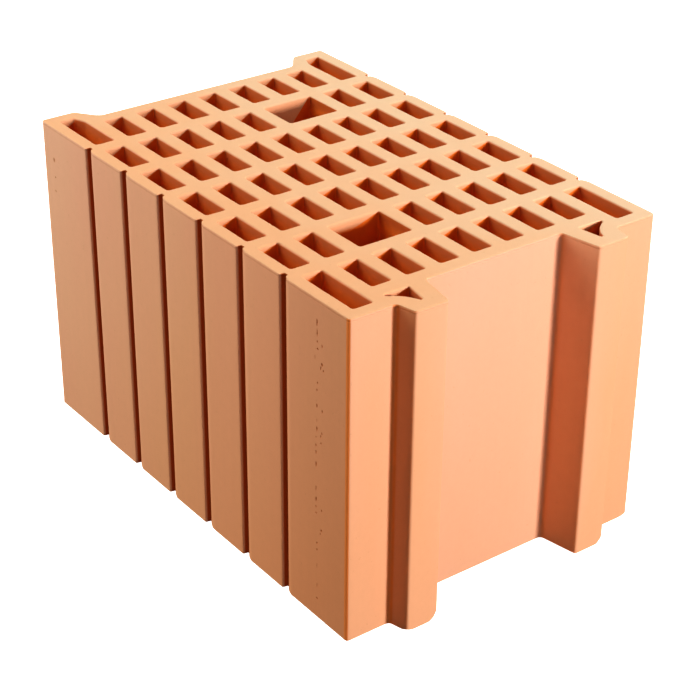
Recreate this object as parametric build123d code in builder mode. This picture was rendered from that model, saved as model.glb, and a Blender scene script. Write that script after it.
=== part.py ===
"""A hollow clay wall block with tongue and groove ends: one piece, extruded, wire-cut and fired.

The die's section lies in the XY plane and is pushed up to the cut height. X runs along the block,
from the recessed back end to the front end with its two tongues. The long plaster faces look
along -Y and +Y. The origin is at the middle of the bed face's bounding rectangle.
"""
from build123d import *
import os

# Block, between its joint faces
length = 375.0
width = 250.0
height = 238.0
arris_radius = 2.0

# Two tongues on the front end, with a mortar pocket between them. Half widths are from the long axis.
tongue_reach = 15.0
tongue_root_outer = 90.3
tongue_outer_taper = 3.5
tongue_root_radius = 3.0
tongue_tip_radius = 2.0
pocket_depth = 15.0
pocket_half_width = 56.0
pocket_flare = 5.7

# One wide recess in the back end. The gaps are what it leaves round the next block's tongues.
tip_end_gap = 1.5
tip_side_gap = 0.35
root_side_gap = 8.2
recess_mouth_radius = 4.0
recess_root_radius = 8.0

# Cells, in columns along X and rows along Y, and the webs and shells that part them
columns = 7
rows = 9
cross_web = 12.55
long_web = 11.9
side_shell = 9.9
recess_web = 10.15
end_shell = 10.0
cell_radius = 1.5

# Grip holes: a cell and the next one along Y, made into one hole. Pairs are (column, lower row).
grips = [(1, 5), (5, 2)]

# The back corner cells are bevelled beside the recess
bevel_along = 10.0
bevel_across = 4.0

# Three-cornered hole in each tongue, with a hollow slanting side
core_heel = 1.5
core_front_wall = 10.8
core_side_wall = 13.6
core_cover = 1.0
core_nose = 1.6
core_hollow = 0.105
core_radius = 0.8

# Plaster keys, over the webs between columns: steep on one side, with a shallow ramp on the other
key_mouth = 9.4
key_depth = 4.0
key_floor = 3.2
key_draft = 0.6
key_edge_radius = 0.9
ramp_depth = 1.9
ramp_radius = 6.0
ramp_foot_radius = 1.4

back = -(length + tongue_reach) / 2
front = back + length
tip = front + tongue_reach
pocket = front - pocket_depth
middle = (back + front) / 2
half_width = width / 2
position_tolerance = 0.01

# The recess's slanting sides clear the tongues' roots and tips, and run on to its floor
recess_depth = tongue_reach + tip_end_gap
recess_floor = back + recess_depth
tongue_tip_outer = tongue_root_outer - tongue_outer_taper
recess_mouth_half = tongue_root_outer + root_side_gap
recess_tip_half = tongue_tip_outer + tip_side_gap
recess_root_half = recess_mouth_half - (recess_mouth_half - recess_tip_half) * recess_depth / tongue_reach

# The cells share what the shells and webs leave
cell_field = length - 2 * (recess_depth + recess_web)
cell_length = (cell_field - (columns - 1) * cross_web) / columns
cell_width = (width - 2 * side_shell - (rows - 1) * long_web) / rows
column_pitch = cell_length + cross_web
row_pitch = cell_width + long_web
half_cell = cell_length / 2


def column_x(column):
    return middle + (column - (columns - 1) / 2) * column_pitch


def row_y(row):
    return (row - (rows - 1) / 2) * row_pitch


def tongue_inner(x):
    """Half width of the pocket between the tongues, which opens towards their tips."""
    return pocket_half_width + pocket_flare * (x - pocket) / (tip - pocket)


def corners_at(sketch, x, y):
    """The sketch's corners at one place and at its mirror image across the long axis."""
    return [
        corner
        for corner in sketch.vertices()
        if abs(corner.X - x) < position_tolerance and abs(abs(corner.Y) - y) < position_tolerance
    ]


# Outer profile of the die: one half, mirrored about the long axis
with BuildSketch() as outline:
    with BuildLine():
        Polyline(
            (recess_floor, 0),
            (recess_floor, recess_root_half),
            (back, recess_mouth_half),
            (back, half_width),
            (front, half_width),
            (front, tongue_root_outer),
            (tip, tongue_tip_outer),
            (tip, tongue_inner(tip)),
            (pocket, pocket_half_width),
            (pocket, 0),
        )
        mirror(about=Plane.XZ)
    make_face()
    fillet(corners_at(outline, recess_floor, recess_root_half), recess_root_radius)
    fillet(corners_at(outline, back, recess_mouth_half), recess_mouth_radius)
    fillet(corners_at(outline, back, half_width), arris_radius)
    fillet(corners_at(outline, front, half_width), arris_radius)
    fillet(corners_at(outline, front, tongue_root_outer), tongue_root_radius)
    fillet(corners_at(outline, tip, tongue_tip_outer), tongue_tip_radius)
    fillet(corners_at(outline, tip, tongue_inner(tip)), tongue_tip_radius)
    fillet(corners_at(outline, pocket, pocket_half_width), tongue_root_radius)

# Plaster keys: cut over each web, then their edges rounded
web_places = [(column_x(column) + column_x(column + 1)) / 2 for column in range(columns - 1)]
steep_edge = -key_mouth / 2
ramp_foot = steep_edge + key_draft + key_floor + key_draft
with BuildSketch() as key:
    with BuildLine():
        Polyline(
            (steep_edge, 0),
            (steep_edge + key_draft, -key_depth),
            (steep_edge + key_draft + key_floor, -key_depth),
            (ramp_foot, -ramp_depth),
            (-steep_edge, 0),
            close=True,
        )
    make_face()

with BuildSketch() as keyed:
    add(outline.sketch)
    for web_x in web_places:
        with Locations((web_x, half_width)):
            add(key.sketch, mode=Mode.SUBTRACT)
        with Locations((web_x, -half_width)):
            add(mirror(key.sketch, about=Plane.XZ, mode=Mode.PRIVATE), mode=Mode.SUBTRACT)
    for web_x in web_places:
        fillet(corners_at(keyed, web_x + steep_edge, half_width), key_edge_radius)
        fillet(corners_at(keyed, web_x + ramp_foot, half_width - ramp_depth), ramp_foot_radius)
        fillet(corners_at(keyed, web_x - steep_edge, half_width), ramp_radius)

# Cells and grip holes
last_column = columns - 1
last_row = rows - 1
grip_cells = [(column, row + step) for column, row in grips for step in (0, 1)]
corner_cells = [(column, row) for column in (0, last_column) for row in (0, last_row)]
plain_cells = [
    (column_x(column), row_y(row))
    for column in range(columns)
    for row in range(rows)
    if (column, row) not in grip_cells + corner_cells
]
grip_places = [(column_x(column), row_y(row) + row_pitch / 2) for column, row in grips]
cell_outer = row_y(last_row) + cell_width / 2
cell_inner = row_y(last_row) - cell_width / 2
with BuildSketch() as cells:
    with Locations(*plain_cells):
        RectangleRounded(cell_length, cell_width, cell_radius)
    with Locations(*grip_places):
        RectangleRounded(cell_length, row_pitch + cell_width, cell_radius)

# Corner cells, drawn at the far side and mirrored to the near side
with BuildSketch() as corner_pair:
    with BuildLine():
        Polyline(
            (back + end_shell, cell_outer),
            (column_x(0) + half_cell, cell_outer),
            (column_x(0) + half_cell, cell_inner),
            (back + end_shell + bevel_along, cell_inner),
            (back + end_shell, cell_inner + bevel_across),
            close=True,
        )
    make_face()
    with BuildLine():
        Polyline(
            (column_x(last_column) - half_cell, cell_inner),
            (front - end_shell, cell_inner),
            (front - end_shell, cell_outer),
            (column_x(last_column) - half_cell, cell_outer),
            close=True,
        )
    make_face()
    fillet(corner_pair.vertices(), cell_radius)
    mirror(about=Plane.XZ)

# Holes in the tongues: a heel behind, a nose towards the tip, and a hollow side between them
heel_x = pocket + core_heel
nose_x = tip - core_front_wall
nose_y = tongue_inner(nose_x) + core_side_wall
core_outer_half = tongue_root_outer - core_cover
slant_start = Vector(nose_x, nose_y + core_nose)
slant_end = Vector(heel_x + core_nose, core_outer_half)
with BuildSketch() as tongue_cores:
    with BuildLine():
        Polyline(
            (heel_x + core_nose, core_outer_half),
            (heel_x, core_outer_half),
            (heel_x, tongue_inner(heel_x) + core_side_wall),
            (nose_x, nose_y),
            (nose_x, nose_y + core_nose),
        )
        SagittaArc(slant_start, slant_end, core_hollow * (slant_end - slant_start).length)
    make_face()
    fillet(tongue_cores.vertices(), core_radius)
    mirror(about=Plane.XZ)

# The block: the section pushed up to the cut height
with BuildPart() as clay_block:
    with BuildSketch():
        add(keyed.sketch)
        add(cells.sketch, mode=Mode.SUBTRACT)
        add(corner_pair.sketch, mode=Mode.SUBTRACT)
        add(tongue_cores.sketch, mode=Mode.SUBTRACT)
    extrude(amount=height)

os.makedirs("parts", exist_ok=True)
clay_block.part.label = "clay_block"
export_step(clay_block.part, "parts/clay_block.step")
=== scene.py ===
"""Looks of a hollow clay wall block: a fired clay skin, soft rims, nicks and pits, on a pale studio floor."""

import math
from types import SimpleNamespace

import bpy
import numpy as np
from mathutils import Matrix, Vector
from mathutils.geometry import delaunay_2d_cdt


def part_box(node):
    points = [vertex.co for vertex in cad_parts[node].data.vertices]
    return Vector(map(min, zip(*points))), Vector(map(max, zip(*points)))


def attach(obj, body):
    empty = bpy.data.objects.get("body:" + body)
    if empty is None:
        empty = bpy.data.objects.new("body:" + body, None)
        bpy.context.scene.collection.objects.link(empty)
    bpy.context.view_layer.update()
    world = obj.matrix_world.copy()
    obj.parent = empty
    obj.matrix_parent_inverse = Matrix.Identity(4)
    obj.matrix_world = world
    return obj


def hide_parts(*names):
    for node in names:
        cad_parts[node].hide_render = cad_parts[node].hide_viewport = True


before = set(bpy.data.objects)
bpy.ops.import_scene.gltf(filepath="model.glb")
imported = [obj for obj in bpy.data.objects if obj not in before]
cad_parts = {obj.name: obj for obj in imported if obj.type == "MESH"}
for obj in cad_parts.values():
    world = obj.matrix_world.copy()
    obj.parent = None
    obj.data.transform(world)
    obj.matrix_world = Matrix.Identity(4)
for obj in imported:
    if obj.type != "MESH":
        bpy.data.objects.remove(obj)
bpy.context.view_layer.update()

MM = 0.001
low, high = (np.array(corner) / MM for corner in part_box("clay_block"))
bed, top = low[2], high[2]
height = top - bed
tip = high[0]
# How far the tongues stand out, and the width from which a hole is a grip hole
TONGUE_REACH = 15.0
GRIP_WIDTH = 30.0

# Tracing of the section's outlines
JOIN = 0.02
TRACE_STEP = 0.2
TRACE_SOFTNESS = 0.45
TURN_STEP = math.radians(17)
OUTER_STEP = 3.5
HOLE_STEP = 2.4
SAME_POINT = 1e-6

# Rims: how far they round off, along the cut face and down the wall. Lips are the rims of walls that face +X
RIM_ACROSS, RIM_DOWN = 1.1, 1.6
LIP_ACROSS, LIP_DOWN = 1.5, 2.2
ARRIS_ACROSS, ARRIS_DOWN = 0.5, 1.3
# A lip gets crisper towards its far end: by how much, and over what length
CRISP_SHARE, CRISP_REACH = 0.65, 7.0
BED_RIM = 0.3
RIM_ROUGH, ARRIS_ROUGH = 0.3, 0.12
COLLAR, ARRIS_COLLAR = 0.8, 0.2
RIM_STEPS, BED_STEPS = 6, 2
WAVES_ROUND_RIM = (3, 26)

# A drag groove that the cut leaves just under the outer arris: its foot, depth, rings and lean, how much of
# its painted shade starts at its foot, and how much of that painted shade shows off the tongues
GROOVE_FOOT = 2.8
GROOVE_DEPTH = 0.15
GROOVE_SHARES = (0.25, 0.5, 0.75)
GROOVE_LEAN = 0.7
GROOVE_SHADE_AT_FOOT = 0.4
GROOVE_SHADE_OFF_TONGUES = 0.35

# Nicks in the rims: place on the cut face, how far they eat in, and how long they are
NICKS = [
    (-41.0, -87.0, 1.3, 1.6),
    (-90.0, -111.5, 0.9, 2.0),
    (-118.5, 25.5, 0.8, 1.8),
    (70.0, 105.0, 1.0, 1.8),
    (-24.0, -33.0, 0.9, 1.5),
]

# Corners of the tongues worn off at the bed: place, how high the wear runs up, and how far it reaches
WORN_CORNERS = [
    (195.0, -61.5, 6.5, 3.2),
    (195.0, 87.0, 5.0, 3.0),
    (195.0, -87.0, 1.5, 3.0),
    (180.0, 125.0, 1.5, 4.0),
]
# How far the worn bed leans outwards, and the height above which the wall is upright everywhere
WORN_SLANT = 0.6
BED_FOOT = 8.0

# Pits in the near face, most of them in a drag line down the last panel: place along the block, height,
# half width, half height and how deep they are and how much painted shade they get
NEAR_PITS = [
    (147.3, 221.8, 0.66, 3.08, 0.8),
    (147.5, 214.7, 0.54, 3.63, 0.5),
    (147.5, 208.6, 0.72, 0.88, 0.6),
    (147.9, 203.7, 0.96, 0.77, 1.0),
    (152.5, 207.4, 0.60, 1.32, 0.7),
    (145.2, 196.8, 0.84, 1.98, 0.2),
    (152.5, 194.5, 0.96, 1.32, 1.0),
    (151.1, 191.6, 0.54, 1.54, 0.9),
    (153.9, 190.6, 0.72, 0.99, 0.6),
    (147.8, 179.7, 0.84, 0.99, 0.5),
    (147.2, 174.4, 0.72, 0.99, 0.5),
    (147.1, 163.1, 0.66, 1.76, 0.7),
    (152.6, 161.3, 0.60, 1.54, 0.6),
    (147.2, 152.3, 0.54, 1.98, 0.2),
    (147.1, 146.0, 0.72, 2.20, 0.8),
    (152.3, 145.0, 0.60, 1.32, 0.6),
    (151.2, 142.2, 0.60, 1.32, 0.6),
    (146.2, 139.7, 0.84, 0.77, 0.3),
    (151.5, 137.6, 0.72, 0.99, 0.5),
    (146.1, 133.8, 0.72, 1.32, 0.6),
    (146.2, 128.6, 0.72, 1.65, 0.6),
    (146.2, 119.6, 0.72, 2.42, 0.8),
    (146.1, 101.5, 0.60, 2.42, 0.5),
    (146.2, 93.1, 0.72, 2.20, 0.9),
    (146.1, 87.4, 0.84, 0.99, 0.5),
    (146.1, 82.6, 1.08, 0.66, 0.9),
    (152.1, 87.3, 0.84, 0.88, 0.6),
    (151.8, 71.6, 0.84, 1.21, 0.7),
    (150.7, 68.6, 0.60, 1.10, 0.5),
    (147.1, 59.6, 0.78, 1.10, 0.8),
    (147.1, 54.4, 0.78, 0.88, 0.6),
    (147.0, 41.6, 0.48, 2.42, 0.3),
    (147.1, 26.0, 0.48, 2.42, 0.4),
    (147.1, 15.4, 0.96, 0.99, 0.9),
    (-179.7, 212.0, 1.56, 2.09, 0.35),
    (-179.4, 198.4, 0.84, 0.88, 0.4),
    (-180.5, 187.0, 1.92, 1.10, 0.2),
]
# Small pits strewn over the far face and, one in three, the back end: their number, how far they keep from
# the cuts, their half widths, how deep they are and how much painted shade they get, how much taller than
# wide, and where they lie
STREWN_PITS = 36
PITS_PER_BACK_PIT = 3
PIT_MARGIN = 12.0
PIT_SIZES = (0.4, 1.1)
PIT_STRENGTHS = (0.3, 0.8)
PIT_STRETCH = (0.8, 1.8)
FAR_PITS_MIDDLE, FAR_PITS_REACH = -7.0, 180.0
BACK_PITS_FROM, BACK_PITS_SPREAD = 105.0, 15.0

# How pits are cut: the deepest one, how fast their painted shade darkens them, and their rings as a share of
# the pit and a count.
# Then the rows of points up the pitted wall, and the step that its slope is read over
PIT_DEPTH = 0.7
PIT_DARKENING = 3.0
PIT_RINGS = ((1.06, 10), (0.75, 10), (0.4, 6))
WALL_ROWS = 12
SLOPE_STEP = 0.02
# A pit needs this much flat wall beside it, and upright edges keep this many half widths from its middle
FLAT_ROUND_PIT = 5.0
PARALLEL = 0.9999
PIT_CLEARANCE = 1.2


def seeded(number):
    return np.random.default_rng(number)


def section_loops():
    """The CAD section's closed outlines, read from its top face: outer one first, solid always on the left.

    Triangles with all corners at the top make the face. An edge that only one of them has is a border.
    """
    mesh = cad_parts["clay_block"].data
    points = np.empty(len(mesh.vertices) * 3, np.float32)
    mesh.vertices.foreach_get("co", points)
    points = points.reshape(-1, 3) / MM
    mesh.calc_loop_triangles()
    faces = np.empty(len(mesh.loop_triangles) * 3, np.int32)
    mesh.loop_triangles.foreach_get("vertices", faces)
    keys, first, merged = np.unique(
        np.round(points / JOIN).astype(int), axis=0, return_index=True, return_inverse=True
    )
    points = points[first]
    faces = merged.ravel()[faces.reshape(-1, 3)]
    flat = faces[(points[faces][:, :, 2] > top - JOIN).all(axis=1)]
    edges = np.concatenate([flat[:, [0, 1]], flat[:, [1, 2]], flat[:, [2, 0]]])
    edges = edges[edges[:, 0] != edges[:, 1]]
    size = len(points)
    forward = edges[:, 0] * size + edges[:, 1]
    backward = edges[:, 1] * size + edges[:, 0]
    border = edges[~np.isin(forward, backward)]
    following = dict(border.tolist())
    loops = []
    while following:
        start, at = following.popitem()
        chain = [start]
        while at != start:
            chain.append(at)
            at = following.pop(at)
        loops.append(points[chain][:, :2])
    return sorted(loops, key=lambda loop: -np.ptp(loop[:, 0]))


def around(values, places, total, wanted):
    """Values known at places along a closed line, read at other places along it."""
    return np.interp(wanted, np.append(places, total), np.append(values, values[0]), period=total)


def soft_outline(loop, longest):
    """The outline with its corners eased, as points that stand closer where it turns, and the unit vectors
    across it there, away from the clay.

    It is walked at an even small step and blurred along its length. The step between two kept points is
    set by adding up the distance over the longest step and the turn over the largest turn.
    """
    along = np.append(0, np.cumsum(np.linalg.norm(np.diff(loop, axis=0, append=loop[:1]), axis=1)))
    total = along[-1]
    count = int(total / TRACE_STEP)
    walk = np.arange(count) * total / count
    trace = np.column_stack([around(loop[:, axis], along[:-1], total, walk) for axis in (0, 1)])
    waves = np.fft.rfftfreq(count, total / count)
    blur = np.exp(-2 * (np.pi * waves * TRACE_SOFTNESS) ** 2)
    trace = np.fft.irfft(np.fft.rfft(trace, axis=0) * blur[:, None], count, axis=0)
    step = np.roll(trace, -1, axis=0) - trace
    heading = np.unwrap(np.arctan2(step[:, 1], step[:, 0]))
    full_turns = round((heading[-1] - heading[0]) / math.tau)
    turn = np.minimum(np.abs(np.diff(heading, append=heading[0] + full_turns * math.tau)), TURN_STEP)
    load = np.append(0, np.cumsum(total / count / longest + turn / TURN_STEP))
    kept = int(math.ceil(load[-1]))
    wanted = np.interp(np.arange(kept) * load[-1] / kept, load, np.append(walk, total))
    ahead = np.roll(trace, -1, axis=0) - np.roll(trace, 1, axis=0)
    across = np.column_stack([ahead[:, 1], -ahead[:, 0]])
    line, out = (
        np.column_stack([around(values[:, axis], walk, total, wanted) for axis in (0, 1)])
        for values in (trace, across)
    )
    return line, out / np.linalg.norm(out, axis=1)[:, None]


def rim_noise(loop, draw):
    """A rough line round a closed rim, between 0 and 1: sine waves of random phase along it, smaller as they
    get shorter."""
    share = np.arange(len(loop)) / len(loop)
    waves = np.arange(*WAVES_ROUND_RIM)
    phase = draw.uniform(0, math.tau, len(waves))
    size = draw.uniform(0.3, 1.0, len(waves)) / np.sqrt(waves)
    rough = (np.sin(math.tau * waves[:, None] * share + phase[:, None]) * size[:, None]).sum(axis=0)
    return np.clip(0.5 + 0.5 * rough / (2 * rough.std()), 0, 1)


def bell_sum(loop, places):
    """Bell curves round places, added up along an outline. A place is x, y, the bell's height and its
    reach."""
    total = np.zeros(len(loop))
    for x, y, tall, reach in places:
        far = np.hypot(loop[:, 0] - x, loop[:, 1] - y)
        total += tall * np.exp(-((far / reach) ** 2))
    return total


class Rings:
    """Closed rings of points up a wall, each with the way its surface faces and how much painted shade it
    gets.
    """

    def __init__(self, line, out):
        self.line, self.out = line, out
        self.points, self.facing, self.painted_shade = [], [], []

    def add(self, inset, z, lean, painted_shade=0.0):
        """One ring, set in from the wall into the clay. Its surface leans back from upright by an angle."""
        count = len(self.line)
        inset, z, lean, painted_shade = (np.broadcast_to(value, count) for value in (inset, z, lean, painted_shade))
        self.points.append(np.column_stack([self.line - self.out * inset[:, None], z]))
        self.facing.append(np.column_stack([self.out * np.cos(lean)[:, None], np.sin(lean)]))
        self.painted_shade.append(painted_shade)


def wall_rings(line, out, is_hole, draw):
    """Rings from the bed to the top: rounded rim, wall, rounded rim, then a flat collar on the cut face.

    A rim point at angle t stands in from the wall by across * (1 - cos t), and below the cut by
    down * (1 - sin t). The outer wall also has a drag groove under its rim, half a sine wave in section, with
    painted shade in it, and its bed rim is raised by a bell curve at each worn corner.
    """
    rings = Rings(line, out)
    lip = np.clip(out[:, 0], 0, 1) ** 2 * is_hole
    rough = (RIM_ROUGH if is_hole else ARRIS_ROUGH) * rim_noise(line, draw)
    rim_across, rim_down = (RIM_ACROSS, RIM_DOWN) if is_hole else (ARRIS_ACROSS, ARRIS_DOWN)
    across = rim_across + rough + lip * (LIP_ACROSS - rim_across) + bell_sum(line, NICKS)
    down = rim_down + rough + lip * (LIP_DOWN - rim_down)
    crisp = lip * np.clip(1 - (line[:, 1].max() - line[:, 1]) / CRISP_REACH, 0, 1)
    across, down = across * (1 - CRISP_SHARE * crisp), down * (1 - CRISP_SHARE * crisp)
    collar = COLLAR if is_hole else ARRIS_COLLAR

    worn = bell_sum(line, WORN_CORNERS) * (not is_hole)
    tilt = 1 - WORN_SLANT * np.minimum(worn, 1)
    rings.add(BED_RIM + ARRIS_COLLAR, bed + worn, -math.pi / 2 * tilt)
    for angle in np.linspace(math.pi / 2, 0, BED_STEPS + 1):
        z = bed + worn + BED_RIM * (1 - math.sin(angle))
        rings.add(BED_RIM * (1 - math.cos(angle)), z, -angle * tilt)
    if not is_hole:
        rings.add(0, bed + BED_FOOT, 0)
        # Painted shade in the drag groove: full on the tongues, and less where the wall turns towards +X
        on_tongue = line[:, 0] > tip - TONGUE_REACH
        groove_shade = (1 - np.clip(out[:, 0], 0, 1)) * np.where(on_tongue, 1, GROOVE_SHADE_OFF_TONGUES)
        rings.add(0, top - GROOVE_FOOT, 0)
        for share in GROOVE_SHARES:
            z = top - GROOVE_FOOT + share * (GROOVE_FOOT - down)
            swell = math.sin(math.pi * share)
            painted_shade = groove_shade * swell * (GROOVE_SHADE_AT_FOOT + (1 - GROOVE_SHADE_AT_FOOT) * share)
            rings.add(GROOVE_DEPTH * swell, z, GROOVE_LEAN * math.cos(math.pi * share), painted_shade)
    for angle in np.linspace(0, math.pi / 2, RIM_STEPS + 1):
        rings.add(across * (1 - math.cos(angle)), top - down * (1 - math.sin(angle)), angle)
    rings.add(across + collar, top, math.pi / 2)
    return rings


def all_pits(line):
    """Every pit as its place on the outer wall, half width, half height and strength."""
    near, far, back = line[:, 1].min(), line[:, 1].max(), line[:, 0].min()
    pits = [(x, near, *rest) for x, *rest in NEAR_PITS]
    draw = seeded(7)
    for number in range(STREWN_PITS):
        along, z = draw.uniform(-1, 1), draw.uniform(bed + PIT_MARGIN, top - PIT_MARGIN)
        size, strength = draw.uniform(*PIT_SIZES), draw.uniform(*PIT_STRENGTHS)
        if number % PITS_PER_BACK_PIT:
            x = FAR_PITS_MIDDLE + along * FAR_PITS_REACH
            pits.append((x, far, z, size, size * draw.uniform(*PIT_STRETCH), strength))
        else:
            y = math.copysign(BACK_PITS_FROM + abs(along) * BACK_PITS_SPREAD, along)
            pits.append((back, y, z, size, size, strength))
    return pits


def hollow(x, y, z, pits):
    """How deep the skin lies at a place, and how much painted shade it gets. Each pit is a bowl whose depth
    goes with the square of 1 - r squared, where r is the distance from its middle over its half width or half
    height. Its painted shade grows towards its middle."""
    depth, painted_shade = np.zeros_like(z), np.zeros_like(z)
    for pit_x, pit_y, pit_z, half_width, half_height, strength in pits:
        far = ((x - pit_x) ** 2 + (y - pit_y) ** 2) / half_width**2 + ((z - pit_z) / half_height) ** 2
        bowl = np.clip(1 - far, 0, 1)
        depth += PIT_DEPTH * strength * bowl**2
        # Painted shade in the pit, strongest at its middle
        painted_shade += np.minimum(PIT_DARKENING * strength * bowl, 1)
    return depth, painted_shade


def pits_on_flats(line, out):
    """The pits that have flat wall round them, each with the number of the outline's point nearest to it."""
    kept = []
    for pit in all_pits(line):
        away = np.hypot(line[:, 0] - pit[0], line[:, 1] - pit[1])
        nearest = away.argmin()
        beside = out[away < pit[3] + FLAT_ROUND_PIT]
        if away[nearest] <= OUTER_STEP and (beside @ out[nearest]).min() >= PARALLEL:
            kept.append((pit, nearest))
    return kept


def pitted_wall(line, out, foot_ids, head_ids, first):
    """The outer wall between two rings, unrolled flat: rows of points, and rings of points round each pit, in
    triangles by a Delaunay triangulation. Its upright edges are kept, but for those that would cross a pit,
    so that no triangle cuts a corner. It gives the new points, their facings and painted shade, and the
    triangles. First is the number of the first new point.

    The facing leans from straight out by the slope of the hollow, along the wall and up it.
    """
    count = len(line)
    along = np.append(0, np.cumsum(np.linalg.norm(np.roll(line, -1, axis=0) - line, axis=1)))
    tangent = np.column_stack([-out[:, 1], out[:, 0]])
    levels = np.linspace(bed + BED_FOOT, top - GROOVE_FOOT, WALL_ROWS)
    rows = levels[1:-1]
    flat_along, flat_z = [np.tile(along[:-1], len(rows))], [np.repeat(rows, count)]
    stiff = np.full((WALL_ROWS - 1, count + 1), True)
    pits = []
    for pit, nearest in pits_on_flats(line, out):
        pit_x, pit_y, pit_z, half_width, half_height, _ = pit
        pits.append(pit)
        middle = along[nearest] + tangent[nearest] @ (np.array([pit_x, pit_y]) - line[nearest])
        beside = np.abs(along - middle) < half_width * PIT_CLEARANCE
        clear = half_height * PIT_CLEARANCE
        level = (levels[:-1] < pit_z + clear) & (levels[1:] > pit_z - clear)
        stiff &= ~(level[:, None] & beside)
        for reach, corners in PIT_RINGS:
            turn = np.arange(corners) * math.tau / corners + reach
            flat_along.append(middle + half_width * reach * np.cos(turn))
            flat_z.append(pit_z + half_height * reach * np.sin(turn))
        flat_along.append([middle])
        flat_z.append([pit_z])
    flat_along, z = np.concatenate(flat_along), np.concatenate(flat_z)

    def at(distance):
        place = [around(line[:, axis], along[:-1], along[-1], distance) for axis in (0, 1)]
        return place[0], place[1]

    (x, y), (ahead_x, ahead_y) = at(flat_along), at(flat_along + SLOPE_STEP)
    depth, painted_shade = hollow(x, y, z, pits)
    slope_along = (hollow(ahead_x, ahead_y, z, pits)[0] - depth) / SLOPE_STEP
    slope_up = (hollow(x, y, z + SLOPE_STEP, pits)[0] - depth) / SLOPE_STEP
    across = np.column_stack([around(out[:, axis], along[:-1], along[-1], flat_along) for axis in (0, 1)])
    points = np.column_stack([np.column_stack([x, y]) - across * depth[:, None], z])
    sideways = np.column_stack([-across[:, 1], across[:, 0]]) * slope_along[:, None]
    facing = np.column_stack([across + sideways, slope_up])
    facing /= np.linalg.norm(facing, axis=1)[:, None]

    new = first + np.arange(len(points))
    seam = np.arange(len(rows)) * count
    sheet = np.concatenate([
        np.column_stack([along, np.full(count + 1, bed + BED_FOOT)]),
        np.column_stack([along, np.full(count + 1, top - GROOVE_FOOT)]),
        np.column_stack([flat_along, z]),
        np.column_stack([np.full(len(rows), along[-1]), rows]),
    ])
    owner = np.concatenate([foot_ids, foot_ids[:1], head_ids, head_ids[:1], new, new[seam]])
    grid = np.empty((WALL_ROWS, count + 1), int)
    grid[0] = np.arange(count + 1)
    grid[-1] = grid[0] + count + 1
    grid[1:-1, :-1] = 2 * (count + 1) + np.arange(len(rows) * count).reshape(-1, count)
    grid[1:-1, -1] = len(sheet) - len(rows) + np.arange(len(rows))
    upright = np.column_stack([grid[:-1][stiff], grid[1:][stiff]])
    found = delaunay_2d_cdt([Vector(p) for p in sheet], upright.tolist(), [], 0, SAME_POINT)
    origin = np.array([ids[0] for ids in found[3]])
    return points, facing, painted_shade, owner[origin[np.array(found[2])]]


def cap(outlines):
    """Triangles that fill the cut face between closed outlines, by a constrained Delaunay triangulation.

    A triangle is kept if its middle is in the clay: a line from it to the far right crosses the
    outlines an odd number of times.
    """
    flat = np.concatenate(outlines)
    starts = np.cumsum([0] + [len(outline) for outline in outlines])
    edges = np.concatenate([
        np.column_stack([np.arange(a, b), np.roll(np.arange(a, b), -1)]) for a, b in zip(starts, starts[1:])
    ])
    found = delaunay_2d_cdt([Vector(p) for p in flat], edges.tolist(), [], 1, SAME_POINT)
    origin = np.array([ids[0] for ids in found[3]])
    triangles = origin[np.array(found[2])]
    middle = flat[triangles].mean(axis=1)
    tail, head = flat[edges[:, 0]], flat[edges[:, 1]]
    spans = (tail[:, 1] > middle[:, 1:2]) != (head[:, 1] > middle[:, 1:2])
    slope = (head[:, 0] - tail[:, 0]) / np.where(head[:, 1] == tail[:, 1], 1, head[:, 1] - tail[:, 1])
    reach = tail[:, 0] + (middle[:, 1:2] - tail[:, 1]) * slope
    inside = (spans & (reach > middle[:, :1])).sum(axis=1) % 2 == 1
    return triangles[inside]


def smooth_mesh(name, points, facings, faces, marks):
    """One mesh from groups of points, of the ways they face, and of quads and triangles between them. Points
    that no face uses are left out. Each mark is a number kept at every point, for the finish to read."""
    sizes = np.concatenate([np.full(len(group), group.shape[1]) for group in faces])
    used, corners = np.unique(np.concatenate([group.ravel() for group in faces]), return_inverse=True)
    mesh = bpy.data.meshes.new(name)
    mesh.vertices.add(len(used))
    mesh.vertices.foreach_set("co", (np.concatenate(points)[used] * MM).astype(np.float32).ravel())
    mesh.loops.add(len(corners))
    mesh.loops.foreach_set("vertex_index", corners.ravel().astype(np.int32))
    mesh.polygons.add(len(sizes))
    mesh.polygons.foreach_set("loop_start", np.cumsum(np.append(0, sizes[:-1])).astype(np.int32))
    mesh.polygons.foreach_set("loop_total", sizes.astype(np.int32))
    mesh.update(calc_edges=True)
    mesh.polygons.foreach_set("use_smooth", np.full(len(sizes), True))
    for mark, values in marks.items():
        layer = mesh.attributes.new(mark, "FLOAT", "POINT")
        layer.data.foreach_set("value", np.concatenate(values)[used].astype(np.float32))
    mesh.validate()
    mesh.normals_split_custom_set_from_vertices(np.concatenate(facings)[used].tolist())
    return mesh


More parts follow.
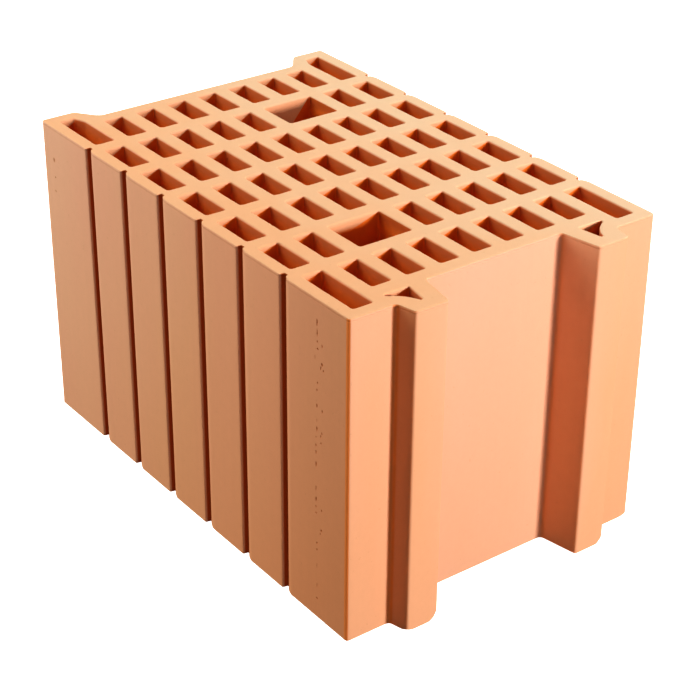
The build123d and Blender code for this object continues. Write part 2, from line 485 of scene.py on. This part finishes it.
def fired_block():
    """The whole block as one closed skin: a wall of rings for each outline, and two cut faces between
    them."""
    points, facings, painted_shades, holes, from_far, faces = [], [], [], [], [], []
    bed_ids, top_ids, bed_lines, top_lines = [], [], [], []
    count = 0

    def keep(new_points, new_facings, new_painted_shades, is_hole):
        points.append(new_points)
        facings.append(new_facings)
        painted_shades.append(new_painted_shades)
        is_grip = np.ptp(new_points[:, 1]) > GRIP_WIDTH
        holes.append(np.full(len(new_points), float(is_hole) * (1 + is_grip)))
        from_far.append(new_points[:, 1].max() - new_points[:, 1])
        return count + len(new_points)

    for number, loop in enumerate(section_loops()):
        is_hole = number > 0
        line, out = soft_outline(loop, HOLE_STEP if is_hole else OUTER_STEP)
        rings = wall_rings(line, out, is_hole, seeded(100 + number))
        ids = count + np.arange(len(rings.points) * len(line)).reshape(-1, len(line))
        count = keep(*(np.concatenate(group) for group in (rings.points, rings.facing, rings.painted_shade)), is_hole)
        beside = np.roll(ids, -1, axis=1)
        strips = np.stack([ids[:-1], beside[:-1], beside[1:], ids[1:]], axis=-1)
        if not is_hole:
            foot = BED_STEPS + 2
            *skin, triangles = pitted_wall(line, out, ids[foot], ids[foot + 1], count)
            count = keep(*skin, is_hole)
            strips = np.delete(strips, foot, axis=0)
            faces.append(triangles)
        faces.append(strips.reshape(-1, 4))
        bed_ids.append(ids[0])
        top_ids.append(ids[-1])
        bed_lines.append(rings.points[0][:, :2])
        top_lines.append(rings.points[-1][:, :2])
    faces.append(np.concatenate(top_ids)[cap(top_lines)])
    faces.append(np.concatenate(bed_ids)[cap(bed_lines)][:, ::-1])

    marks = {"painted_shade": painted_shades, "hole": holes, "from_far": from_far}
    piece = bpy.data.objects.new("fired_block", smooth_mesh("fired_block", points, facings, faces, marks))
    bpy.context.scene.collection.objects.link(piece)
    return piece


class Value:
    """A number on a surface. Sums, products and the like of such numbers add Math nodes."""

    def __init__(self, finish, socket):
        self.finish = finish
        self.socket = socket

    def math(self, operation, *numbers):
        return self.finish.node("ShaderNodeMath", {"operation": operation}, dict(enumerate(numbers)))

    def __add__(self, other):
        return self.math("ADD", self, other)

    def __radd__(self, other):
        return self.math("ADD", other, self)

    def __sub__(self, other):
        return self.math("SUBTRACT", self, other)

    def __rsub__(self, other):
        return self.math("SUBTRACT", other, self)

    def __mul__(self, other):
        return self.math("MULTIPLY", self, other)

    def __rmul__(self, other):
        return self.math("MULTIPLY", other, self)

    def __truediv__(self, other):
        return self.math("DIVIDE", self, other)

    def __abs__(self):
        return self.math("ABSOLUTE", self)

    def __gt__(self, other):
        return self.math("GREATER_THAN", self, other)

    def __lt__(self, other):
        return self.math("LESS_THAN", self, other)

    def between(self, start, end):
        """0 at start and 1 at end, with a smooth rise between them."""
        return self.finish.node(
            "ShaderNodeMapRange",
            {"interpolation_type": "SMOOTHSTEP"},
            {0: self, 1: start, 2: end, 3: 0.0, 4: 1.0},
        )


class Finish:
    """A material's nodes, made one by one."""

    def __init__(self, name):
        self.material = bpy.data.materials.new(name)
        self.material.use_nodes = True
        self.tree = self.material.node_tree
        self.shader = self.tree.nodes["Principled BSDF"]
        self.place = self.node("ShaderNodeTexCoord", {}, {}, "Object")

    def put(self, socket, value):
        if isinstance(value, Value):
            self.tree.links.new(value.socket, socket)
        else:
            socket.default_value = value

    def node(self, kind, settings, inputs, output=0):
        made = self.tree.nodes.new(kind)
        for name, value in settings.items():
            setattr(made, name, value)
        for name, value in inputs.items():
            self.put(made.inputs[name], value)
        return Value(self, made.outputs[output])

    def stretched(self, scale, shift=(0.0, 0.0, 0.0)):
        return self.node(
            "ShaderNodeMapping", {}, {"Vector": self.place, "Scale": scale, "Location": shift}
        )

    def noise(self, scale, detail=2.0, rough=0.5, vector=None):
        inputs = {"Vector": vector or self.place, "Scale": scale, "Detail": detail, "Roughness": rough}
        return self.node("ShaderNodeTexNoise", {}, inputs)

    def mix(self, share, first, second, blend="MIX"):
        settings = {"data_type": "RGBA", "blend_type": blend}
        return self.node("ShaderNodeMix", settings, {0: share, 6: first, 7: second}, 2)


def colour(red, green, blue):
    return (red, green, blue, 1.0)


PEACH = colour(0.84, 0.450, 0.285)
ROSE = colour(0.84, 0.415, 0.275)
STRAW = colour(0.81, 0.460, 0.255)
# Painted shade: a darker, more orange copy of the skin for its shaded parts
SHADED_ORANGE = colour(0.82, 0.330, 0.155)
# Painted light: paler lit copies of the skin for surfaces that face the tongued end
END_PALE = colour(0.84, 0.500, 0.365)
END_ROSE = colour(0.84, 0.446, 0.270)
CUT_CLAY = colour(0.835, 0.575, 0.378)
CUT_WARM = colour(0.880, 0.482, 0.271)
# Painted light: the lit band on the lips of hole walls that face the front
LIT_LIP = colour(0.77, 0.430, 0.262)
# Painted shade down the holes, just under the cut
HOLE_SHADE = colour(0.56, 0.165, 0.055)
# Painted shade, deep red: low down the holes, on hole walls that face the front, and at the tongues' roots
DEEP_SHADE = colour(0.84, 0.235, 0.035)
# Painted shade, darkest: in the plaster keys' grooves and near the top of the grip holes
DARK_SHADE = colour(0.50, 0.110, 0.018)
# Painted light: paler paint on hole walls that face the back or the far side, so that they throw more light
# into the holes
AWAY_WALL_LIGHT = colour(0.84, 0.340, 0.160)
# Painted shade on the upright corner arrises
ARRIS_SHADE = colour(0.84, 0.260, 0.070)
# Painted shade in the drag groove under the outer arris and in the pits
GROOVE_PIT_SHADE = colour(0.50, 0.155, 0.050)
GRAIN_DARK = colour(0.52, 0.235, 0.110)

# The block's faces, in metres
BACK_X, FRONT_X = low[0] * MM, (tip - TONGUE_REACH) * MM
MIDDLE_X = (BACK_X + FRONT_X) / 2
HALF_LENGTH = (FRONT_X - BACK_X) / 2
HALF_WIDTH = high[1] * MM
POCKET_X = FRONT_X - 0.015

# How much of an axis a surface's facing holds, from none of the colour to all of it
TURNED_TO = (0.3, 0.8)
LIP_TURNED_TO = (0.35, 0.8)
END_TURNED_TO = (0.5, 0.95)
CUT_TURNED_TO = (0.5, 0.9)

# Down the holes, in mm under the cut: where the holes' painted shade starts, where it turns deeper, where the
# grip holes' darkest painted shade fades out, and where the painted lit lip ends at the latest
HOLE_SHADE_FROM = (0.4, 1.8)
DEEP_FROM = (3.0, 12.0)
GRIP_DARK_TO = (6.0, 20.0)
LIP_ENDS = (5.0, 9.0)
# The painted lit lip's edge, set along the front lamp's shadow edge, in mm down for each mm across: in the
# front half, what the back adds, and how far back
LIP_SLOPE, LIP_STEEPER, STEEPER_OVER = 0.33, 0.24, 0.16

# Painted light on the far grip hole's back wall, a pale patch with a slanted shadow edge: where the wall is,
# its middle and half width, the patch's end, and its edge in mm down for each metre across
PALE_WALL_X = -0.1206
PALE_WALL_MIDDLE, PALE_WALL_HALF = 0.040, 0.022
PALE_WALL_END = 0.0610
PALE_WALL_SLOPE = 1190

# Painted shade in the plaster keys, in mm in from the long face and in metres along it, and in the tongues'
# roots
KEY_STARTS, KEY_ENDS = (0.8, 2.2), (5.0, 6.0)
KEYS_REACH = (0.14, 0.15)
POCKET_ROOT_Y = (0.050, 0.058, 0.060)
POCKET_ROOT_X = (0.1655, 0.171)
OUTER_ROOT_Y = (0.088, 0.090, 0.0915, 0.094)
OUTER_ROOT_X = (0.1815, 0.184)


def readings(clay):
    """What the finish goes by at a place: where it is, in metres, which way it faces, how deep it lies under
    the cut, in mm, and the marks kept at the skin's points, painted shade among them. Cut is 1 on the cut
    faces, and wall is 1 on the rest."""
    at = SimpleNamespace()
    facing = clay.node("ShaderNodeTexCoord", {}, {}, "Normal")
    at.x, at.y, z = (clay.node("ShaderNodeSeparateXYZ", {}, {0: clay.place}, axis) for axis in (0, 1, 2))
    at.normal_x, at.normal_y, normal_z = (
        clay.node("ShaderNodeSeparateXYZ", {}, {0: facing}, axis) for axis in (0, 1, 2)
    )
    at.hole, at.painted_shade, at.from_far = (
        clay.node("ShaderNodeAttribute", {"attribute_name": mark}, {}, "Fac")
        for mark in ("hole", "painted_shade", "from_far")
    )
    at.cut = abs(normal_z).between(*CUT_TURNED_TO)
    at.wall = 1 - at.cut
    at.depth = (top * MM - z) / MM
    return at


def outer_skin(clay, at):
    """Peach in slow rose and straw patches, with painted shade that turns it darker and more orange towards
    the front and the bed and on the near tongue's side, less on walls that face the far side. Surfaces that
    face the tongued end are paler, a painted lit copy of the skin, and rosier beside its pocket and lower
    down. The wire-cut faces are the palest, and warmer on the near side."""
    patches = clay.noise(11, 3, 0.55, clay.stretched((1.0, 1.0, 0.32))).between(0.36, 0.66)
    straws = clay.noise(8, 3, 0.5, clay.stretched((1.0, 1.0, 0.4), (3.1, 1.7, 0.4))).between(0.42, 0.68)
    down = at.depth / height
    skin = clay.mix(patches * 0.75, PEACH, ROSE)
    skin = clay.mix(straws * 0.6, skin, STRAW)
    # Painted shade: darker and more orange towards the front, the bed and the near tongue's side, less on
    # walls facing the far side
    orange_shade = (at.x - BACK_X) / (FRONT_X - BACK_X) * 0.7 + down * 0.4 - at.y.between(0.0, 0.06) * 0.25
    near_tongue = at.x.between(FRONT_X, FRONT_X + 0.002) * (at.y < 0)
    to_far = at.normal_y.between(*TURNED_TO)
    skin = clay.mix((orange_shade + near_tongue * 0.3) * (1 - to_far * 0.6), skin, SHADED_ORANGE)
    # Painted light: surfaces facing +X, towards the front lamp, get a paler lit copy of the skin
    beside = abs(at.y).between(0.04, 0.11) + at.x.between(FRONT_X, FRONT_X + 0.01) * 0.6
    lit_end_skin = clay.mix(beside * 0.6 + down * 0.5 + patches * 0.2 - 0.1, END_PALE, END_ROSE)
    skin = clay.mix(at.normal_x.between(*END_TURNED_TO), skin, lit_end_skin)
    return clay.mix(at.cut, skin, clay.mix(0.4 - at.y * 4 + patches * 0.25, CUT_CLAY, CUT_WARM))


def painted_hole_light(clay, at):
    """Painted shade and light down the holes: a red painted shade under the cut, deeper red below it and on
    walls that face the front, darker still near the top of the grip holes, paler paint on the walls that face
    the back or the far side so that they throw more light into the holes, a pale patch of painted light on
    the far grip hole's back wall, and a painted lit band on the lip of the wall that faces the front. The
    band starts at the hole's far wall and gets deeper towards the near one."""
    # Painted shade: darkest near the top of the grip holes
    in_grip = at.hole.between(1.2, 1.8)
    inner = clay.mix(in_grip * (1 - at.depth.between(*GRIP_DARK_TO)) * 0.8, HOLE_SHADE, DARK_SHADE)
    # Painted shade: deeper red further down and on walls that face the front
    inner = clay.mix(at.depth.between(*DEEP_FROM) + at.normal_x.between(*TURNED_TO), inner, DEEP_SHADE)
    # Painted light: paler on walls that face the back or the far side
    inner = clay.mix((at.normal_y - at.normal_x).between(-0.3, 0.3), inner, AWAY_WALL_LIGHT)
    # Painted light: a pale lit patch on the far grip hole's back wall, cut off by a slanted shadow edge
    across = abs(at.y - PALE_WALL_MIDDLE).between(PALE_WALL_HALF, PALE_WALL_HALF + 0.001)
    lit_patch = (1 - abs(at.x - PALE_WALL_X).between(0.0015, 0.003)) * (1 - across)
    lit_patch = lit_patch * ((PALE_WALL_END - at.y) * PALE_WALL_SLOPE - at.depth).between(-0.5, 0.5)
    inner = clay.mix(lit_patch, inner, CUT_CLAY)
    # Painted light: a lit band on the lip of walls that face the front, down to the front lamp's shadow edge
    slope = LIP_SLOPE + (0 - at.x).between(0.0, STEEPER_OVER) * LIP_STEEPER
    lip = at.normal_x.between(*LIP_TURNED_TO) * (1 - at.depth.between(*LIP_ENDS))
    lip = lip * (at.from_far * slope - at.depth).between(-0.4, 0.6)
    return clay.mix(lip, inner, LIT_LIP)


def with_painted_key_root_shade(clay, at, skin):
    """The skin with painted shade in the plaster keys, at the foot of the far tongue's inner side and of the
    near tongue's outer side, where the tongues cast shadow."""
    outside = (1 - at.hole) * at.wall
    inset = (HALF_WIDTH - abs(at.y)) / MM
    # Painted shade in the plaster keys' grooves
    in_key = inset.between(*KEY_STARTS) * (1 - inset.between(*KEY_ENDS))
    in_key = in_key * (1 - abs(at.x - MIDDLE_X).between(*KEYS_REACH))
    skin = clay.mix(in_key * outside, skin, DARK_SHADE)
    # Painted shade where the tongues cast their shadow at their roots
    pocket_root = at.y.between(*POCKET_ROOT_Y[:2]) * (1 - at.y.between(*POCKET_ROOT_Y[1:]))
    pocket_root = pocket_root * (1 - at.x.between(*POCKET_ROOT_X)) * 0.35
    outer_root = abs(at.y).between(*OUTER_ROOT_Y[:2]) * (1 - abs(at.y).between(*OUTER_ROOT_Y[2:]))
    outer_root = outer_root * (1 - at.x.between(*OUTER_ROOT_X)) * (at.y < 0) * 0.7
    root = (pocket_root + outer_root) * at.x.between(POCKET_X - 0.0005, POCKET_X)
    return clay.mix(root * outside, skin, DEEP_SHADE)


def fired_clay():
    """Fired clay: its skin, the painted shade and light in its holes and the painted shade in its keys and
    roots, toned by faint die drag lines, mottle and grain, with painted shade at the front of the near face,
    dark specks, and painted shade on the upright arrises, in the drag groove and in the pits."""
    clay = Finish("fired_clay")
    at = readings(clay)
    drag = clay.noise(260, 3, 0.6, clay.stretched((1.0, 1.0, 0.012)))
    grain = clay.noise(900, 2, 0.6)
    mottle = clay.noise(180, 2, 0.6)
    specks = clay.noise(420, 1, 0.4).between(0.72, 0.80)

    # Hole walls below the rim take the painted shade and light of the holes
    in_hole = at.hole * at.wall * at.depth.between(*HOLE_SHADE_FROM)
    skin = clay.mix(in_hole, outer_skin(clay, at), painted_hole_light(clay, at))
    skin = with_painted_key_root_shade(clay, at, skin)
    # Painted shade: darker towards the front of the near face
    front_shade = at.x.between(0.06, 0.19) * (0 - at.y).between(0.06, 0.08) * (1 - at.hole) * at.wall
    front_shade = front_shade * (1 - at.normal_x.between(*TURNED_TO))
    tone = 0.955 + drag * at.wall * 0.03 + grain * 0.03 + mottle * 0.04 - front_shade * 0.12
    shade = clay.node("ShaderNodeCombineXYZ", {}, {0: tone, 1: tone, 2: tone})
    skin = clay.mix(1.0, skin, shade, "MULTIPLY")
    skin = clay.mix(specks * 0.12, skin, GRAIN_DARK)
    # Painted shade on the upright corner arrises, strongest on the near front one
    corner = abs(at.x - MIDDLE_X).between(HALF_LENGTH - 0.0036, HALF_LENGTH - 0.0026)
    corner = corner * abs(at.y).between(HALF_WIDTH - 0.0014, HALF_WIDTH - 0.0007)
    corner = corner * (0.25 + 0.75 * (at.x > 0) * (at.y < 0))
    skin = clay.mix(corner * at.wall, skin, ARRIS_SHADE)
    # Painted shade in the drag groove under the outer arris and in the pits
    skin = clay.mix(at.painted_shade * 0.85, skin, GROOVE_PIT_SHADE)

    wire = clay.noise(300, 2, 0.5, clay.stretched((0.05, 1.0, 1.0)))
    relief = drag * at.wall * 0.2 + wire * at.cut * 0.5 + mottle * 0.4 + grain * 0.35 - specks * 0.4
    bump = clay.node("ShaderNodeBump", {}, {"Strength": 0.25, "Distance": 0.0004, "Height": relief})
    clay.put(clay.shader.inputs["Base Color"], skin)
    clay.put(clay.shader.inputs["Roughness"], 0.80 + grain * 0.12)
    clay.put(clay.shader.inputs["Normal"], bump)
    clay.shader.inputs["Specular IOR Level"].default_value = 0.25
    return clay.material


def studio_sweep():
    """A wide pale floor that curves up into a round pale room. It glows, as a lit paper sweep does, and
    throws no colour back on the block.

    It is a profile turned about the upright axis: flat out to the bend, a quarter circle, then a dome.
    """
    flat, bend, roof, spokes = 3.5, 1.5, 5.0, 64
    curve = np.linspace(0, math.pi / 2, 9)
    dome = np.linspace(0, math.pi / 2, 9)[1:]
    radius = np.concatenate([[0.0, 1.0, 2.0], flat + bend * np.sin(curve), (flat + bend) * np.cos(dome)])
    rise = np.concatenate([[0.0, 0.0, 0.0], bend * (1 - np.cos(curve)), bend + roof * np.sin(dome)])
    turn = np.arange(spokes) * math.tau / spokes
    points = np.stack([
        np.outer(radius, np.cos(turn)), np.outer(radius, np.sin(turn)), np.outer(rise, np.ones(spokes)),
    ], axis=-1)
    ids = np.arange(len(radius) * spokes).reshape(-1, spokes)
    beside = np.roll(ids, -1, axis=1)
    quads = np.stack([ids[:-1], ids[1:], beside[1:], beside[:-1]], axis=-1).reshape(-1, 4)[:, ::-1]
    mesh = bpy.data.meshes.new("studio_sweep")
    mesh.from_pydata(points.reshape(-1, 3).tolist(), [], quads.tolist())
    mesh.polygons.foreach_set("use_smooth", np.full(len(quads), True))
    sweep = bpy.data.objects.new("studio_sweep", mesh)
    bpy.context.scene.collection.objects.link(sweep)
    finish = Finish("pale_paper")
    finish.shader.inputs["Base Color"].default_value = colour(0.9, 0.9, 0.9)
    finish.shader.inputs["Roughness"].default_value = 0.9
    finish.shader.inputs["Specular IOR Level"].default_value = 0.0
    finish.shader.inputs["Emission Color"].default_value = colour(1.0, 1.0, 1.0)
    finish.shader.inputs["Emission Strength"].default_value = 0.72
    mesh.materials.append(finish.material)
    sweep.visible_diffuse = False
    sweep.visible_glossy = False
    sweep.visible_shadow = False


# Lamps: name, azimuth from +X towards +Y and elevation in degrees, distance and size in metres, power in
# watts, tint
LAMPS = [
    ("front_lamp", 17.3, 13, 1.5, 0.18, 14.9, (1.0, 0.94, 0.87)),
    ("back_lamp", 228, 26, 1.8, 1.6, 27, (0.86, 1.0, 1.0)),
    ("top_lamp", 95, 58, 1.6, 0.9, 12.0, (1.0, 1.0, 1.0)),
    ("side_lamp", -50, 5, 1.8, 1.8, 5.2, (1.0, 1.0, 1.0)),
]
ROOM_LIGHT = 0.04


def softbox(name, azimuth, elevation, distance, size, power, tint):
    """A square lamp that looks at the middle of the block."""
    turn, lift = math.radians(azimuth), math.radians(elevation)
    aim = Vector((0, 0, height * MM / 2))
    toward = Vector((math.cos(turn) * math.cos(lift), math.sin(turn) * math.cos(lift), math.sin(lift)))
    data = bpy.data.lights.new(name, "AREA")
    data.shape = "SQUARE"
    data.size = size
    data.energy = power
    data.color = tint
    lamp = bpy.data.objects.new(name, data)
    lamp.location = aim + toward * distance
    lamp.rotation_mode = "QUATERNION"
    lamp.rotation_quaternion = toward.to_track_quat("Z", "Y")
    bpy.context.scene.collection.objects.link(lamp)


def studio():
    """A small lamp in front of the tongued end, a broad one behind, one overhead, one beside the near face,
    and a pale room."""
    for lamp in LAMPS:
        softbox(*lamp)
    world = bpy.data.worlds.new("room")
    bpy.context.scene.world = world
    world.use_nodes = True
    world.node_tree.nodes["Background"].inputs["Color"].default_value = colour(1.0, 1.0, 1.0)
    world.node_tree.nodes["Background"].inputs["Strength"].default_value = ROOM_LIGHT
    bpy.context.scene.view_settings.view_transform = "Standard"
    bpy.context.scene.view_settings.look = "High Contrast"


# Camera: heading, tilt and roll in degrees, place in metres, focal length in pixels of the square frame
CAMERA_TURN = (143.096, -29.369, 0.527)
CAMERA_PLACE = (0.9563, -0.7074, 0.7637)
FOCAL_PIXELS, FRAME_PIXELS = 1879.4, 700
SENSOR = 36.0


def photo_camera():
    """A long lens in front of the tongued end and the near plaster face, fitted to the block's corners."""
    heading, tilt, roll = (math.radians(angle) for angle in CAMERA_TURN)
    flat = math.cos(tilt)
    forward = Vector((flat * math.cos(heading), flat * math.sin(heading), math.sin(tilt)))
    level = forward.cross(Vector((0, 0, 1))).normalized()
    above = level.cross(forward)
    right = level * math.cos(roll) + above * math.sin(roll)
    up = right.cross(forward)
    data = bpy.data.cameras.new("camera")
    data.sensor_width = SENSOR
    data.lens = FOCAL_PIXELS / FRAME_PIXELS * SENSOR
    data.clip_start = 0.05
    data.clip_end = 50.0
    camera = bpy.data.objects.new("camera", data)
    turn = Matrix((right, up, -forward)).transposed().to_4x4()
    camera.matrix_world = Matrix.Translation(CAMERA_PLACE) @ turn
    bpy.context.scene.collection.objects.link(camera)
    bpy.context.scene.camera = camera


photo_camera()
block = fired_block()
block.data.materials.append(fired_clay())
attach(block, "root")
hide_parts("clay_block")
studio_sweep()
studio()
